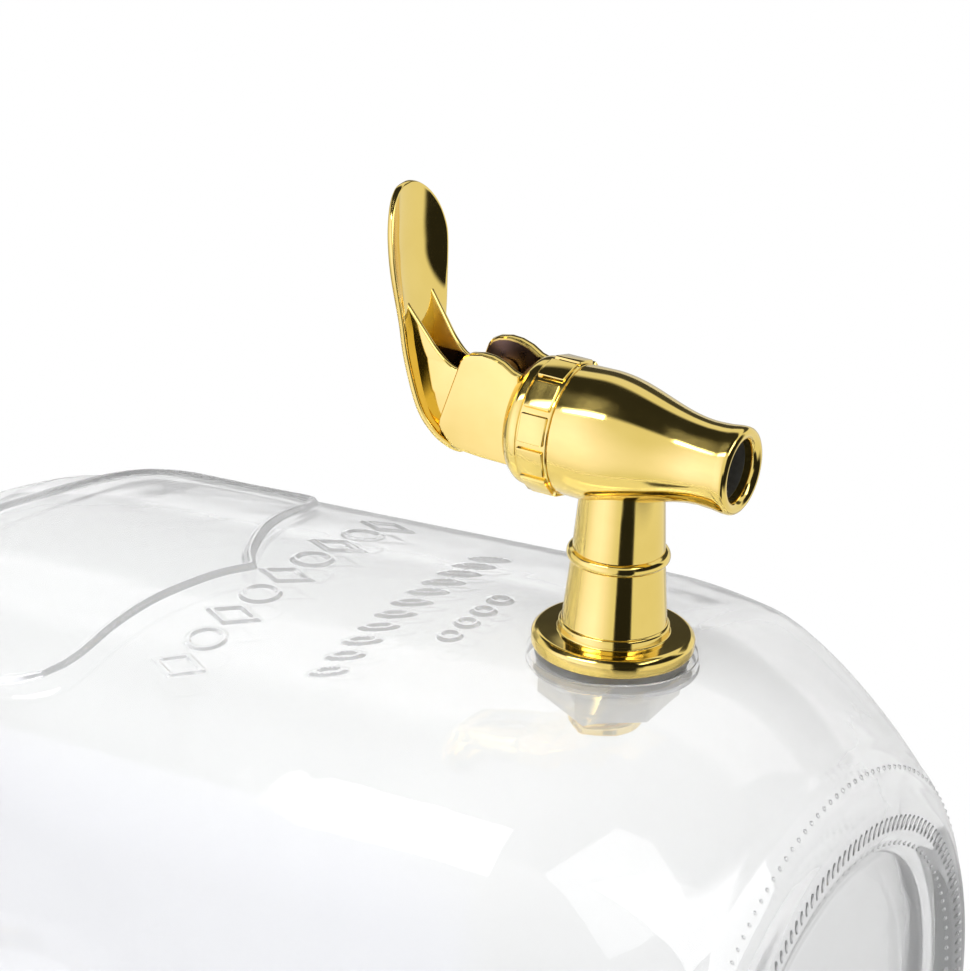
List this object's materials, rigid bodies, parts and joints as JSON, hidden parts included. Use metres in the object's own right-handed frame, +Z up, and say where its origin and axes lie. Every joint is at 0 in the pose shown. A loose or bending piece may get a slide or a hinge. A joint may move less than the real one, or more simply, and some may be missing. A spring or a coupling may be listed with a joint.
{
  "type": "detergent dispenser",
  "caption": "Square-shouldered clear glass jar lying or standing, with a screw lid and a gold-plated push-down lever tap low on its front, for dispensing laundry liquid.",
  "frame": {"origin": "centre of the ring that the jar stands on, on the standing plane", "axes": "+Z up along the jar's axis; the tap points toward -Y; +X to the right seen from the back of the jar"},
  "size_m": [0.1542, 0.2335, 0.242],
  "materials": {
    "glass": "clear pressed glass with soft waves",
    "gold_plate": "mirror gold plating",
    "lid_metal": "satin gold lacquered sheet steel",
    "liner": "soft white sealing compound",
    "silicone": "translucent silicone",
    "dark_rubber": "black rubber",
    "rod_plastic": "natural acetal",
    "spring_steel": "stainless spring wire"
  },
  "bodies": {
    "jar_and_tap": {"jar": "glass", "tap_body": "gold_plate", "outer_washer": "silicone", "inner_washer": "silicone", "shank_nut": "gold_plate", "lock_ring": "gold_plate", "bonnet": "gold_plate", "bonnet_seal": "silicone", "stem_seal": "dark_rubber", "return_spring": "spring_steel"},
    "lever": {"lever": "gold_plate"},
    "valve": {"valve_stem": "rod_plastic", "seat_plug": "silicone"},
    "liner": {"lid_liner": "liner"},
    "cap": {"lid_cap": "lid_metal"}
  },
  "joints": [
    {"name": "lever_press", "type": "hinge", "parent": "jar_and_tap", "child": "lever", "pos_m": [0, -0.1228, 0.0795], "axis": [1, 0, 0], "range_deg": [0, 30], "stiffness_Nm_per_rad": 0.12, "springref_deg": -20.05},
    {"name": "valve_lift", "type": "slide", "parent": "jar_and_tap", "child": "valve", "axis": [0, 0, 1], "range_m": [0, 0.00276], "deforming": ["return_spring"]},
    {"name": "lid_rise", "type": "slide", "parent": "jar_and_tap", "child": "liner", "axis": [0, 0, 1], "range_m": [0, 0.0076]},
    {"name": "lid_turn", "type": "hinge", "parent": "liner", "child": "cap", "pos_m": [0, 0, 0.24], "axis": [0, 0, 1], "range_deg": [0, 450]}
  ],
  "couplings": [
    {"joint": "valve_lift", "follows": "lever_press", "m_per_rad": 0.00525},
    {"joint": "lid_rise", "follows": "lid_turn", "m_per_rad": 0.000955}
  ]
}
